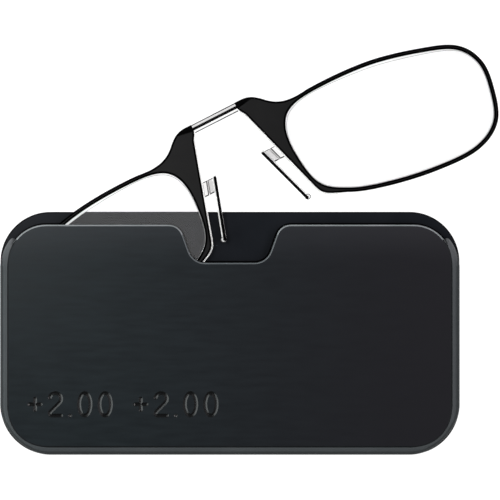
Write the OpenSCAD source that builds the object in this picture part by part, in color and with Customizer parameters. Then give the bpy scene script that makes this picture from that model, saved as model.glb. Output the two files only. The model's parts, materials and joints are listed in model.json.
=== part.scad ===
// Armless reading glasses drawn out of their flat stick-on pod.
//
// Frame: the pod lies on its back on the plane z = 0, origin at the centre of the adhesive
// pad's lower face, +X along the pod, +Y towards the pocket's mouth, +Z out of the front panel.
// The glasses are modelled in a frame of their own, level, with the origin at the middle of the
// bridge wire, +X to the right half and +Y up the face, and then set into the pocket at a tilt.

/* [Pod] */
// Width of the pod
pod_w = 112; // [108:1:120]
// Height of the back plate
pod_h = 59.2; // [57:0.2:64]
// Corner radius of the back plate
pod_corner_r = 12.2; // [10:0.2:14]
// Thickness of the back plate and of the front panel
pod_wall = 0.9; // [0.8:0.1:1.2]
// Clear depth of the pocket between the two walls
pocket_gap = 2.2; // [2.1:0.1:3]
// Width of the side rail, from the pod's edge to the pocket
rail_w = 2.2; // [2.1:0.05:2.3]
// Width of the rounded band of the rail that shows beside the front panel
band_w = 1.95; // [1.6:0.05:2]
// How far the front panel's top edge lies below the back plate's
panel_drop = 3.15; // [2:0.05:4]
// Depth of the thumb notch below the front panel's top edge
notch_depth = 9.25; // [8:0.25:11]
// Thickness of the adhesive foam pad
adhesive_t = 0.5; // [0.4:0.1:0.8]

/* [Glasses] */
// Tilt of the glasses in the pocket, in degrees
tilt = 27; // [20:1:30]
// Place of the middle of the bridge along the pod
bridge_x = -3.7; // [-6:0.1:2]
// Height of the middle of the bridge above the pod's centre
bridge_y = 52.5; // [52:0.5:58]
// Thickness of a rim
rim_t = 1.6; // [1.5:0.1:1.8]
// Width of the rim round the lens
rim_w = 1.1; // [0.9:0.1:1.4]
// Centre thickness of a lens
lens_t = 1.56; // [1.5:0.02:1.7]
// Radius of both lens faces
lens_face_r = 586; // [500:1:800]

/* [Bridge and nose pads] */
// Free length of the bridge wire between the rims
bridge_len = 11.8; // [10:0.2:12]
// Radius of the bridge wire
wire_r = 0.25; // [0.2:0.05:0.3]
// Height of the clear bridge sleeve
sleeve_h = 2.05; // [1.6:0.05:2.2]
// Length of a nose pad's spine
spine_len = 15.2; // [13:0.2:15.6]
// Lean of the nose pads from the vertical, in degrees
pad_lean = 17.9; // [16:0.1:19]

/* [Hidden] */
$fn = 64;

// Levels of the pod, from the table up
plate_z = adhesive_t;
pocket_z = plate_z + pod_wall;
panel_z = pocket_z + pocket_gap;
mid_z = pocket_z + pocket_gap / 2;

// Plan sizes of the pod
corner_x = pod_w / 2 - pod_corner_r;
corner_y = pod_h / 2 - pod_corner_r;
panel_top = pod_h / 2 - panel_drop;
panel_corner_y = panel_top - pod_corner_r + band_w;
rail_tip_angle = 33;
rail_tip_r = rail_w / 2 + 0.1;
band_foot = 0.7;
band_top = 0.2;
adhesive_size = [96, 44];
adhesive_corner_r = 8;

// Thumb notch: half width of its floor, fillet radii and wall slope
notch_floor = 6;
notch_low_r = 4.2;
notch_top_r = 3.6;
notch_slope = 70;

// Grip pads on the inside of the front panel
grip_size = [14, 3];
grip_t = 0.25;
grip_place = [38, 6];

// Right-hand lens opening, clockwise from its nose side
lens_knots = [
    [13.6, -15.5], [14.8, -8.9], [19, -5.7], [28, -5], [40, -5.8], [51.4, -8.5], [59.7, -11.8],
    [63.2, -17.1], [62.9, -23.9], [60.1, -31.5], [53.1, -35.1], [41.9, -34.9], [30, -32.8],
    [21.1, -29.8], [15.3, -25.1]
];
curve_steps = 6;
lens_centre = [38.5, -20.2];
lens_blank_r = 30;
lens_rings = 12;
// Where the plain rim begins and ends, counted in curve points of the opening
rim_first = 2.5 * curve_steps;
rim_last = 13 * curve_steps;

// Nose-side lobe of the right-hand rim: its lower corner, its neck and its top edge
lobe_corner_knots = [[18.3, -29.85], [16.5, -29], [15.15, -27.95], [14.4, -26.6], [13.9, -25.1]];
lobe_neck_knots = [[7.4, -3.9], [6.95, -2.6], [6.3, -1.5], [5.9, -0.35]];
lobe_top_knots = [
    [5.9, 1.05], [8.4, 1], [10.2, 0.5], [11.9, -0.7], [13.4, -2.1], [15, -3.2], [17, -3.95],
    [19.5, -4.25], [22, -4.13]
];

// Lens flange held in the rim's groove
flange_w = 0.4;
flange_t = 0.5;
groove_play = 0.02;

// Ferrule at each end of the bridge wire
ferrule_len = 3.4;
ferrule_low = -0.35;
ferrule_high = 0.95;
ferrule_t = 1.7;
wire_anchor = 0.7;
bore_play = 0.01;
sleeve_t = 0.9;

// Clear pad carrier: a trim along the nose-side edge, and the tab that holds the pad
trim_w = 0.35;
trim_t = 1;
tab_top = -12.75;
tab_low = -16.2;
tab_t = 0.8;
leaf_t = 0.6;
spine_top = [6.55, -13];
crease_offset = 2;
knuckle_r = 0.35;
knuckle_seat_r = 0.42;
knuckle_gap = 0.1;

// Nose pad: black spine in a clear silicone skin that ends in a round bead. The spine stands
// proud of the skin at the front and the back.
spine_w = 0.5;
spine_t = 1.7;
skin_nose = 0.2;
skin_rim = 0.45;
skin_t = 1.6;
bead_r = 0.68;
bead_offset = 0.35;

// ---- curves ----

// Point at t on the Catmull-Rom stretch from b to c
function curve_point(a, b, c, d, t) =
    (2 * b + (c - a) * t + (2 * a - 5 * b + 4 * c - d) * t ^ 2
        + (3 * b - a - 3 * c + d) * t ^ 3) / 2;

function closed_curve(knots) =
    let (n = len(knots))
    [for (i = [0:n - 1], s = [0:curve_steps - 1])
        curve_point(knots[(i + n - 1) % n], knots[i], knots[(i + 1) % n], knots[(i + 2) % n],
            s / curve_steps)];

function open_curve(knots) =
    let (n = len(knots), steps = curve_steps / 2)
    concat(
        [for (i = [0:n - 2], s = [0:steps - 1])
            curve_point(
                i > 0 ? knots[i - 1] : 2 * knots[0] - knots[1], knots[i], knots[i + 1],
                i < n - 2 ? knots[i + 2] : 2 * knots[n - 1] - knots[n - 2], s / steps)],
        [knots[n - 1]]);

// Unit normal to the left of the way from a to b
function left_normal(a, b) = [a[1] - b[1], b[0] - a[0]] / norm(b - a);

function offset_closed(points, d) =
    let (n = len(points))
    [for (i = [0:n - 1])
        points[i] + d * left_normal(points[(i + n - 1) % n], points[(i + 1) % n])];

function offset_open(points, d) =
    let (n = len(points))
    [for (i = [0:n - 1])
        points[i] + d * left_normal(points[max(i - 1, 0)], points[min(i + 1, n - 1)])];

function reversed(points) = [for (i = [len(points) - 1:-1:0]) points[i]];

function arc(centre, r, from, to, steps = 8) =
    [for (i = [0:steps]) let (a = from + (to - from) * i / steps) centre + r * [cos(a), sin(a)]];

// ---- outlines of the right half ----

lens_outline = closed_curve(lens_knots);

nose_edge = concat(open_curve(lobe_corner_knots), open_curve(lobe_neck_knots));

rim_outline =
    let (around = offset_closed(lens_outline, rim_w))
    concat([for (i = [rim_first:rim_last]) around[i]], nose_edge, open_curve(lobe_top_knots));

// Stretch of the nose-side edge that carries the clear trim
trim_edge = [for (p = nose_edge) if (p[1] < -1.4) p];

// ---- frames of reference ----

module on_glasses() translate([bridge_x, bridge_y, mid_z]) rotate([0, 0, tilt]) children();

module left_half() on_glasses() mirror([1, 0, 0]) children();

module right_half() on_glasses() children();

// Pad frame: origin at the spine's top, +X towards the rim, -Y down along the spine
module on_pad() translate(spine_top) rotate([0, 0, pad_lean]) children();

// A flat piece centred on the middle plane of the glasses
module flat(points, t) translate([0, 0, -t / 2]) linear_extrude(t) polygon(points);

// ---- pod ----

module rounded_plate(half_x, half_y, r, t) {
    translate([-half_x, r - half_y, 0]) cube([2 * half_x, 2 * (half_y - r), t]);
    translate([r - half_x, -half_y, 0]) cube([2 * (half_x - r), 2 * half_y, t]);
    for (x = [-1, 1], y = [-1, 1])
        translate([x * (half_x - r), y * (half_y - r), 0]) cylinder(h = t, r = r);
}

module pod_back_plate()
    color("#1c1d20") translate([0, 0, plate_z])
        rounded_plate(pod_w / 2, pod_h / 2, pod_corner_r, pod_wall);

// Cross-section of the rail: x runs outwards from the corner's centre, y runs up
module rail_profile() {
    inner = pod_corner_r - rail_w;
    shoulder = pod_corner_r - band_w;
    foot = pocket_z + band_foot;
    rise = panel_z + pod_wall - band_top - foot;
    polygon(concat(
        [[inner, pocket_z], [pod_corner_r, pocket_z]],
        [for (a = [0:10:90]) [shoulder + band_w * cos(a), foot + rise * sin(a)]],
        [[shoulder, panel_z], [inner, panel_z]]));
}

// Straight stretch of the rail, along +Y from the origin
module rail_run(length)
    translate([0, length, 0]) rotate([90, 0, 0]) linear_extrude(length) rail_profile();

// Upper corner of the rail, which stops at a round tip
module rail_tip() {
    middle_r = pod_corner_r - rail_w / 2;
    intersection() {
        rotate_extrude(angle = rail_tip_angle + 10) rail_profile();
        union() {
            linear_extrude(2 * panel_z)
                polygon([[0, 0], [2 * pod_corner_r, 0],
                    2 * pod_corner_r * [cos(rail_tip_angle), sin(rail_tip_angle)]]);
            rotate([0, 0, rail_tip_angle]) translate([middle_r, 0, 0])
                cylinder(h = 2 * panel_z, r = rail_tip_r);
        }
    }
}

module pod_side_rail()
    color("#3d4245") {
        for (side = [0, 1]) mirror([side, 0, 0]) {
            translate([corner_x, -corner_y, 0]) rail_run(corner_y + panel_corner_y);
            translate([corner_x, panel_corner_y, 0]) rail_tip();
            translate([corner_x, -corner_y, 0]) rotate([0, 0, -90])
                rotate_extrude(angle = 90) rail_profile();
        }
        translate([-corner_x, -corner_y, 0]) rotate([0, 0, -90]) rail_run(2 * corner_x);
    }

// Right half of the notch's edge, from its floor up to the panel's top edge
function notch_side() =
    let (
        floor_y = panel_top - notch_depth,
        low = arc([notch_floor, floor_y + notch_low_r], notch_low_r, -90, notch_slope - 90),
        low_end = low[len(low) - 1],
        top_y = panel_top - notch_top_r,
        run = (top_y + notch_top_r * cos(notch_slope) - low_end[1]) / tan(notch_slope),
        top_x = low_end[0] + run + notch_top_r * sin(notch_slope))
    concat(low, arc([top_x, top_y], notch_top_r, 90 + notch_slope, 90));

module pod_front_panel() {
    half_y = (panel_top + pod_h / 2 - band_w) / 2;
    side = notch_side();
    half = concat(side, [[side[len(side) - 1][0], panel_top + 1]]);
    color("#26292c") difference() {
        translate([0, panel_top - half_y, panel_z])
            rounded_plate(pod_w / 2 - band_w, half_y, pod_corner_r - band_w, pod_wall);
        translate([0, 0, panel_z - 1]) linear_extrude(pod_wall + 2)
            polygon(concat(reversed([for (p = half) [-p[0], p[1]]]), half));
    }
}

module adhesive_pad()
    color("#6d7073")
        rounded_plate(adhesive_size[0] / 2, adhesive_size[1] / 2, adhesive_corner_r, adhesive_t);

// One soft grip pad under the front panel
module grip_pad(x) {
    end_r = grip_size[1] / 2;
    straight = grip_size[0] / 2 - end_r;
    color("#55585a") translate([x, grip_place[1], panel_z - grip_t]) {
        translate([-straight, -end_r, 0]) cube([2 * straight, 2 * end_r, grip_t]);
        for (end = [-1, 1]) translate([end * straight, 0, 0]) cylinder(h = grip_t, r = end_r);
    }
}

// ---- rims, lenses and bridge ----

module rim()
    color("#1b1b1b") difference() {
        flat(rim_outline, rim_t);
        flat(lens_outline, rim_t + 1);
        flat(offset_closed(lens_outline, flange_w + groove_play), flange_t + 2 * groove_play);
        translate([bridge_len / 2 - 1, ferrule_low, -rim_t])
            cube([ferrule_len + 1, 2 * rim_t, 2 * rim_t]);
        translate([bridge_len / 2, 0, 0]) rotate([0, 90, 0])
            cylinder(h = ferrule_len + wire_anchor + 0.1, r = wire_r + bore_play, $fn = 32);
    }

// Cross-section of a round lens blank, from its middle out to its edge
function lens_profile() =
    let (
        sag = function(r) lens_face_r - sqrt(lens_face_r ^ 2 - r ^ 2),
        face = [for (i = [0:lens_rings]) let (r = lens_blank_r * i / lens_rings)
            [r, lens_t / 2 - sag(r)]])
    concat(face, reversed([for (p = face) [p[0], -p[1]]]));

module lens()
    color([0.9, 0.95, 0.97, 0.35]) {
        flat(offset_closed(lens_outline, flange_w), flange_t);
        intersection() {
            flat(offset_closed(lens_outline, -groove_play), 2 * lens_t);
            translate([lens_centre[0], lens_centre[1], 0])
                rotate_extrude($fn = 180) polygon(lens_profile());
        }
    }

module ferrule()
    color("#0c0c0d") difference() {
        translate([bridge_len / 2, ferrule_low, -ferrule_t / 2])
            cube([ferrule_len, ferrule_high - ferrule_low, ferrule_t]);
        translate([bridge_len / 2 - 1, 0, 0]) rotate([0, 90, 0])
            cylinder(h = ferrule_len + 2, r = wire_r + bore_play, $fn = 32);
    }

module bridge_wire()
    color("#101011") on_glasses() rotate([0, 90, 0])
        cylinder(h = bridge_len + 2 * (ferrule_len + wire_anchor), r = wire_r, center = true,
            $fn = 32);

module bridge_sleeve()
    color([0.92, 0.93, 0.94, 0.5]) on_glasses() difference() {
        cube([bridge_len, sleeve_h, sleeve_t], center = true);
        rotate([0, 90, 0]) cylinder(h = bridge_len + 2, r = wire_r, center = true, $fn = 32);
    }

// ---- nose pads ----

// Place across the tab, at height y, of a line parallel to the pad and offset from its spine
function beside_spine(offset, y) =
    spine_top[0] + (spine_top[1] - y) * tan(pad_lean) + offset / cos(pad_lean);

// Place of the rim's straight nose-side edge at height y
function rim_edge_x(y) =
    let (low = lobe_corner_knots[len(lobe_corner_knots) - 1], high = lobe_neck_knots[0])
    low[0] + (high[0] - low[0]) * (y - low[1]) / (high[1] - low[1]);

// Round bar along the tab's crease
module crease_bar(r)
    intersection() {
        on_pad() translate([crease_offset, 2, 0]) rotate([90, 0, 0])
            cylinder(h = 10, r = r, $fn = 32);
        translate([0, tab_low, -1]) cube([20, tab_top - tab_low, 2]);
    }

module pad_carrier()
    color([0.92, 0.94, 0.95, 0.45]) {
        flat(concat(trim_edge, reversed(offset_open(trim_edge, trim_w))), trim_t);
        difference() {
            flat([
                [beside_spine(crease_offset + knuckle_gap, tab_top), tab_top],
                [rim_edge_x(tab_top), tab_top],
                [rim_edge_x(tab_low), tab_low],
                [beside_spine(crease_offset + knuckle_gap, tab_low), tab_low]
            ], tab_t);
            crease_bar(knuckle_seat_r);
        }
    }

module pad_leaf() {
    inner = spine_w / 2 + skin_rim;
    outer = crease_offset - knuckle_r + knuckle_gap;
    color([0.85, 0.87, 0.89, 0.5]) {
        flat([
            [beside_spine(inner, tab_top), tab_top],
            [beside_spine(outer, tab_top), tab_top],
            [beside_spine(outer, tab_low), tab_low],
            [beside_spine(inner, tab_low), tab_low]
        ], leaf_t);
        crease_bar(knuckle_r);
    }
}

module pad_spine()
    color("#0c0c0d") on_pad() {
        translate([-spine_w / 2, -spine_len, -spine_t / 2]) cube([spine_w, spine_len, spine_t]);
        for (y = [0, -spine_len])
            translate([0, y, -spine_t / 2]) cylinder(h = spine_t, r = spine_w / 2, $fn = 32);
    }

module nose_pad() {
    width = skin_nose + spine_w + skin_rim;
    color([0.92, 0.94, 0.95, 0.4]) difference() {
        on_pad() translate([0, 0, -skin_t / 2]) {
            translate([-skin_nose - spine_w / 2, -spine_len, 0])
                cube([width, spine_len + spine_w, skin_t]);
            translate([bead_offset, -spine_len, 0]) cylinder(h = skin_t, r = bead_r);
        }
        pad_spine();
    }
}

pod_back_plate();
pod_side_rail();
pod_front_panel();
adhesive_pad();
grip_pad(-grip_place[0]);  // left_grip_pad
grip_pad(grip_place[0]);  // right_grip_pad
left_half() rim();  // left_rim
right_half() rim();  // right_rim
left_half() lens();  // left_lens
right_half() lens();  // right_lens
left_half() ferrule();  // left_ferrule
right_half() ferrule();  // right_ferrule
bridge_wire();
bridge_sleeve();
left_half() pad_carrier();  // left_pad_carrier
right_half() pad_carrier();  // right_pad_carrier
left_half() pad_leaf();  // left_pad_leaf
right_half() pad_leaf();  // right_pad_leaf
left_half() pad_spine();  // left_pad_spine
right_half() pad_spine();  // right_pad_spine
left_half() nose_pad();  // left_nose_pad
right_half() nose_pad();  // right_nose_pad
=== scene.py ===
"""Looks for the armless reading glasses and their flat pod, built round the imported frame.

Lengths in the shape functions are millimetres and become metres when a mesh is made. Pod shapes
use the row frame. Shapes of the glasses use their own level frame: origin at the middle of the
bridge wire, x to the right half, y up the face, z towards the viewer.
"""

import json
import math

import bmesh
import bpy
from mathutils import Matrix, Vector
from mathutils.geometry import delaunay_2d_cdt


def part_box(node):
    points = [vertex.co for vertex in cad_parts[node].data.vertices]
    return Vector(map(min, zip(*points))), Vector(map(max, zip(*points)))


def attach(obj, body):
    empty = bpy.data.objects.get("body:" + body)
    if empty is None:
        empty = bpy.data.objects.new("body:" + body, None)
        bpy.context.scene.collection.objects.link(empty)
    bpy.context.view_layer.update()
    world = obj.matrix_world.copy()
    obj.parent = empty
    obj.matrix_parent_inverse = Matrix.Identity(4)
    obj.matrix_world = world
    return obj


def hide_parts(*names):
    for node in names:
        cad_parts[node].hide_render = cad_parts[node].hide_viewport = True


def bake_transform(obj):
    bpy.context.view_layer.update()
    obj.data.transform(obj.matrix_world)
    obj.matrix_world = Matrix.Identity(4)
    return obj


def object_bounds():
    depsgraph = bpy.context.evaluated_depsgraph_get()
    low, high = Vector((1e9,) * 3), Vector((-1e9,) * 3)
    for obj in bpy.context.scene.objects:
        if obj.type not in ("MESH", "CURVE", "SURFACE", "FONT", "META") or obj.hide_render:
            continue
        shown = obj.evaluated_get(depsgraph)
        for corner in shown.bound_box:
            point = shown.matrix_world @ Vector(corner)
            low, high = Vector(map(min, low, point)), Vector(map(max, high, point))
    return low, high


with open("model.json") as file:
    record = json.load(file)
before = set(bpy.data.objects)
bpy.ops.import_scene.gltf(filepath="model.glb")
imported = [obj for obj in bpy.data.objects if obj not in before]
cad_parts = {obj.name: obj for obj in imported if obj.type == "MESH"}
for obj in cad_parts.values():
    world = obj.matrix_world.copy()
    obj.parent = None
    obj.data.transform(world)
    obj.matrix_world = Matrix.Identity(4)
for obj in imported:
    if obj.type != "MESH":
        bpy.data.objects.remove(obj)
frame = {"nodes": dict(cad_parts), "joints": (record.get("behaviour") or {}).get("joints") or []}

MM = 0.001
CAD_BOX = [list(corner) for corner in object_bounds()]
JOINTS = {joint["name"]: joint for joint in frame["joints"]}
RIGHT = 1
LEFT = -1
SHARP_ANGLE = math.radians(40)
FLAT = 0.999
NOISE_LOW = 0.3
NOISE_HIGH = 0.7


def box_mm(node):
    """Lowest and highest corner of a CAD node, in millimetres."""
    low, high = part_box(node)
    return low / MM, high / MM


# ---------------------------------------------------------------- sizes, in millimetres

PLATE_LOW, PLATE_HIGH = box_mm("pod_back_plate")
PANEL_LOW, PANEL_HIGH = box_mm("pod_front_panel")
RAIL_LOW, RAIL_HIGH = box_mm("pod_side_rail")
FOAM_LOW, FOAM_HIGH = box_mm("adhesive_pad")
POD_CORNER_R = 12.2
BAND_W = PLATE_HIGH.x - PANEL_HIGH.x
RAIL_W = 2.2
RAIL_FOOT = 0.7
RAIL_TIP_ANGLE = 33
RAIL_CORNER_INSET = 0.35
RAIL_TIP_Y = PANEL_HIGH.y - POD_CORNER_R + BAND_W
RAIL_TIP_FADE = 5
RAIL_TOP_TILT = 0.8
RAIL_TIP_TILT = 0.2
# Angle down the panel's corner arcs from which the upper edge takes its painted highlight.
PAINTED_HIGHLIGHT_ANGLE = 35
PANEL_EDGE_R = 0.34
PLATE_EDGE_R = 0.3
# Width of the strip of painted shadow on the plate round the panel.
PAINTED_SHADOW_W = 0.45
PANEL_CORNER_R = 9.4

NOTCH_DEPTH = 9.25
NOTCH_FLOOR = 6.0
NOTCH_LOW_R = 4.2
NOTCH_TOP_R = 3.6
NOTCH_SLOPE = 70
NOTCH_REACH = 20

MARK_AT = (-49.2, -20.4)
MARK_H = 6.4
MARK_W = 3.7
MARK_PITCH = 4.95
MARK_HALF_STROKE = 0.47
MARK_DEPTH = 0.3
MARK_REACH = 52

SPREAD_AT = Vector(JOINTS["spread"]["pos_m"]) / MM
FOLD_AT = Vector(JOINTS["fold"]["pos_m"]) / MM
BRIDGE_AT = (SPREAD_AT + FOLD_AT) / 2
ACROSS = (FOLD_AT - SPREAD_AT).normalized()
UP_FACE = Vector((-ACROSS.y, ACROSS.x, 0))

# The knots repeat those of part.scad. They come from a program's fit to the photo and from contour
# points that it printed, not from points chosen by hand.
LENS_KNOTS = [
    (13.6, -15.5), (14.8, -8.9), (19, -5.7), (28, -5), (40, -5.8), (51.4, -8.5), (59.7, -11.8),
    (63.2, -17.1), (62.9, -23.9), (60.1, -31.5), (53.1, -35.1), (41.9, -34.9), (30, -32.8),
    (21.1, -29.8), (15.3, -25.1),
]
LOBE_CORNER_KNOTS = [(18.3, -29.85), (16.5, -29), (15.15, -27.95), (14.4, -26.6), (13.9, -25.1)]
LOBE_NECK_KNOTS = [(7.4, -3.9), (6.95, -2.6), (6.3, -1.5), (5.9, -0.35)]
LOBE_TOP_KNOTS = [
    (5.9, 1.05), (8.4, 1), (10.2, 0.5), (11.9, -0.7), (13.4, -2.1), (15, -3.2), (17, -3.95),
    (19.5, -4.25), (22, -4.13),
]
CURVE_STEPS = 10
RIM_FIRST_KNOT = 2.5
RIM_LAST_KNOT = 13
RIM_W = 1.1
RIM_T = 1.6
RIM_EDGE_R = 0.5
CORNER_CLEAR = 0.65

LENS_CENTRE = (38.5, -20.2)
LENS_T = 1.56
LENS_FACE_R = 586
FLANGE_W = 0.4
FLANGE_T = 0.5
BEVEL_NARROW = 0.1
BEVEL_WIDE = 0.52
BEVEL_DROP = 0.14
RIDGE_W = 0.1
RIDGE_DROP = 0.02

BRIDGE_HALF = 5.9
WIRE_R = 0.36
WIRE_DROP = 0.1
WIRE_END = 10.0
FERRULE_END = 9.3
FERRULE_LOW = -0.35
FERRULE_TIP_LOW = 0.25
FERRULE_T = 1.7
SLEEVE_LOW = -1.2
SLEEVE_TOP = 1.02
SLEEVE_T = 0.84
SLEEVE_EDGE_R = 0.24
SLEEVE_SHADE_FROM = 0.25
SLEEVE_START = 0.001
SLEEVE_END = BRIDGE_HALF - 0.02

TRIM_W = 0.18
TAB_TOP = -12.75
TAB_LOW = -16.2
TAB_T = 0.8
TAB_LOWER_TILT = -0.1
TAB_UPPER_TILT = 0.25
LEAF_T = 0.6
SPINE_TOP = (6.55, -13)
SPINE_LEN = 15.2
SPINE_W = 0.68
SPINE_T = 1.7
SKIN_W = 0.33
PAD_LEAN = math.radians(17.9)
CREASE = 2.0
KNUCKLE_R = 0.35


# ---------------------------------------------------------------- curves and outlines

def curve_point(a, b, c, d, t):
    """Point at t on the Catmull-Rom stretch from b to c."""
    return tuple(
        (2 * b[i] + (c[i] - a[i]) * t + (2 * a[i] - 5 * b[i] + 4 * c[i] - d[i]) * t ** 2
         + (3 * b[i] - a[i] - 3 * c[i] + d[i]) * t ** 3) / 2
        for i in (0, 1))


def closed_curve(knots):
    n = len(knots)
    return [
        curve_point(knots[i - 1], knots[i], knots[(i + 1) % n], knots[(i + 2) % n], s / CURVE_STEPS)
        for i in range(n) for s in range(CURVE_STEPS)]


def beyond(a, b):
    """The point as far past b as a is before it."""
    return (2 * b[0] - a[0], 2 * b[1] - a[1])


def open_curve(knots):
    ends = [beyond(knots[1], knots[0]), *knots, beyond(knots[-2], knots[-1])]
    points = [
        curve_point(*ends[i:i + 4], s / CURVE_STEPS)
        for i in range(len(knots) - 1) for s in range(CURVE_STEPS)]
    return points + [knots[-1]]


def arc(centre, radius, start, stop, steps=10):
    """Points round an arc, angles in degrees."""
    angles = [math.radians(start + (stop - start) * i / steps) for i in range(steps + 1)]
    return [(centre[0] + radius * math.cos(a), centre[1] + radius * math.sin(a)) for a in angles]


def left_normal(a, b):
    dx, dy = b[0] - a[0], b[1] - a[1]
    length = math.hypot(dx, dy) or 1
    return (-dy / length, dx / length)


def inset_closed(points, distance):
    """Moves a closed outline to its left, which is inwards when it runs anticlockwise."""
    moved = []
    n = len(points)
    for i, p in enumerate(points):
        before = left_normal(points[i - 1], p)
        after = left_normal(p, points[(i + 1) % n])
        middle = (before[0] + after[0], before[1] + after[1])
        share = max(middle[0] ** 2 + middle[1] ** 2, 1)
        moved.append((p[0] + 2 * distance * middle[0] / share,
                      p[1] + 2 * distance * middle[1] / share))
    return moved


def inset_open(points, distance):
    last = len(points) - 1
    normals = [left_normal(points[max(i - 1, 0)], points[min(i + 1, last)])
               for i in range(last + 1)]
    return [(p[0] + distance * n[0], p[1] + distance * n[1]) for p, n in zip(points, normals)]


def rounded_rectangle(low, high, radius, steps=14):
    x0, x1 = low[0] + radius, high[0] - radius
    y0, y1 = low[1] + radius, high[1] - radius
    return (arc((x0, y0), radius, 180, 270, steps) + arc((x1, y0), radius, 270, 360, steps)
            + arc((x1, y1), radius, 0, 90, steps) + arc((x0, y1), radius, 90, 180, steps))


def notch_side():
    """Right half of the thumb notch, from its floor up to the panel's top edge."""
    slope = math.radians(NOTCH_SLOPE)
    floor_y = PANEL_HIGH.y - NOTCH_DEPTH
    low = arc((NOTCH_FLOOR, floor_y + NOTCH_LOW_R), NOTCH_LOW_R, -90, NOTCH_SLOPE - 90)
    top_y = PANEL_HIGH.y - NOTCH_TOP_R
    run = (top_y + NOTCH_TOP_R * math.cos(slope) - low[-1][1]) / math.tan(slope)
    top_x = low[-1][0] + run + NOTCH_TOP_R * math.sin(slope)
    return low + arc((top_x, top_y), NOTCH_TOP_R, 90 + NOTCH_SLOPE, 90)


def panel_outline():
    corners = rounded_rectangle(PANEL_LOW, PANEL_HIGH, PANEL_CORNER_R)
    half = 3 * len(corners) // 4
    side = notch_side()
    return corners[:half] + side[::-1] + [(-x, y) for x, y in side] + corners[half:]


LENS_OUTLINE = closed_curve(LENS_KNOTS)
NOSE_EDGE = open_curve(LOBE_CORNER_KNOTS) + open_curve(LOBE_NECK_KNOTS)


def seat_top():
    """Where the end of the ferrule meets the lobe's top edge."""
    top = open_curve(LOBE_TOP_KNOTS)
    after = next(i for i, p in enumerate(top) if p[0] >= FERRULE_END)
    a, b = top[after - 1], top[after]
    share = (FERRULE_END - a[0]) / (b[0] - a[0])
    return (FERRULE_END, a[1] + (b[1] - a[1]) * share)


def rim_outline():
    """Outer outline of the right rim, clockwise, with the seat of the ferrule cut out."""
    around = inset_closed(LENS_OUTLINE, RIM_W)
    first, last = int(RIM_FIRST_KNOT * CURVE_STEPS), int(RIM_LAST_KNOT * CURVE_STEPS)
    neck = NOSE_EDGE[-1]
    nose = [p for p in NOSE_EDGE if math.dist(p, neck) > CORNER_CLEAR] + [neck]
    top = [p for p in open_curve(LOBE_TOP_KNOTS) if p[0] > FERRULE_END + CORNER_CLEAR]
    return around[first:last + 1] + nose + [(FERRULE_END, FERRULE_TIP_LOW), seat_top()] + top


def ferrule_outline():
    top = [p for p in open_curve(LOBE_TOP_KNOTS) if p[0] < FERRULE_END - CORNER_CLEAR]
    return [(BRIDGE_HALF, FERRULE_LOW), (FERRULE_END, FERRULE_TIP_LOW), seat_top()] + top[::-1]


def trim_edge():
    return [p for p in NOSE_EDGE if p[1] < -1.4]


def beside_spine(offset, y):
    """Place across the tab, at height y, of a line beside the nose pad's spine."""
    return SPINE_TOP[0] + (SPINE_TOP[1] - y) * math.tan(PAD_LEAN) + offset / math.cos(PAD_LEAN)


def rim_edge_x(y):
    low, high = LOBE_CORNER_KNOTS[-1], LOBE_NECK_KNOTS[0]
    return low[0] + (high[0] - low[0]) * (y - low[1]) / (high[1] - low[1])


def on_pad(points):
    """From the nose pad's frame, with -y down the spine, to the level frame of the glasses."""
    c, s = math.cos(PAD_LEAN), math.sin(PAD_LEAN)
    return [(SPINE_TOP[0] + x * c - y * s, SPINE_TOP[1] + x * s + y * c) for x, y in points]


# ---------------------------------------------------------------- meshes

def on_glasses(side):
    """Function that takes a point of the level frame to the row frame, mirrored for the left."""
    def place(point):
        x, y, z = point
        return BRIDGE_AT + ACROSS * (x * side) + UP_FACE * y + Vector((0, 0, z))
    return place


def in_place(point):
    return Vector(point)


def make_object(name, bm, materials, place=in_place, part=None):
    """Turns a bmesh in millimetres into a smooth object. part gives a face's material number from
    its centre and normal. Edges between two materials are sharp, and so are steep folds."""
    bmesh.ops.recalc_face_normals(bm, faces=bm.faces)
    for face in bm.faces:
        face.smooth = True
        if part:
            face.material_index = part(face.calc_center_median(), face.normal)
    for edge in bm.edges:
        one_finish = len({face.material_index for face in edge.link_faces}) == 1
        edge.smooth = edge.smooth and one_finish and edge.calc_face_angle(0) < SHARP_ANGLE
    for vertex in bm.verts:
        vertex.co = place(vertex.co) * MM
    bmesh.ops.recalc_face_normals(bm, faces=bm.faces)
    mesh = bpy.data.meshes.new(name)
    bm.to_mesh(mesh)
    bm.free()
    for material in materials:
        mesh.materials.append(material)
    obj = bpy.data.objects.new(name, mesh)
    bpy.context.scene.collection.objects.link(obj)
    return obj


def even_normals(obj):
    """Keeps large flat faces flat beside their rounded edges."""
    modifier = obj.modifiers.new("even_normals", "WEIGHTED_NORMAL")
    modifier.keep_sharp = True
    modifier.weight = 100


def flat_or_edge(centre, normal):
    """0 for the flat faces of a slab and 1 for its edges."""
    return 0 if abs(normal.z) > FLAT else 1


def edge_profile(z_low, z_high, low_r, high_r, steps=6):
    """(inset, z) rings up a wall with rounded lower and upper edges."""
    rings = []
    for i in range(steps + 1):
        a = math.pi / 2 * i / steps
        rings.append((low_r * (1 - math.sin(a)), z_low + low_r * (1 - math.cos(a))))
    for i in range(steps + 1):
        a = math.pi / 2 * i / steps
        rings.append((high_r * (1 - math.cos(a)), z_high - high_r * (1 - math.sin(a))))
    return rings


def join_rows(bm, rows, closed=True, material=0):
    """Makes quads between neighbouring rows of points."""
    count = len(rows[0])
    for low, high in zip(rows, rows[1:]):
        for i in range(count if closed else count - 1):
            after = (i + 1) % count
            face = bm.faces.new((low[i], low[after], high[after], high[i]))
            face.material_index = material


def add_rings(bm, points, rings):
    """Adds a wall that follows a closed outline through (inset, z) rings, and returns the rings."""
    rows = []
    for inset, z in rings:
        outline = inset_closed(points, inset) if inset else points
        rows.append([bm.verts.new((x, y, z)) for x, y in outline])
    join_rows(bm, rows)
    return rows


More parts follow.
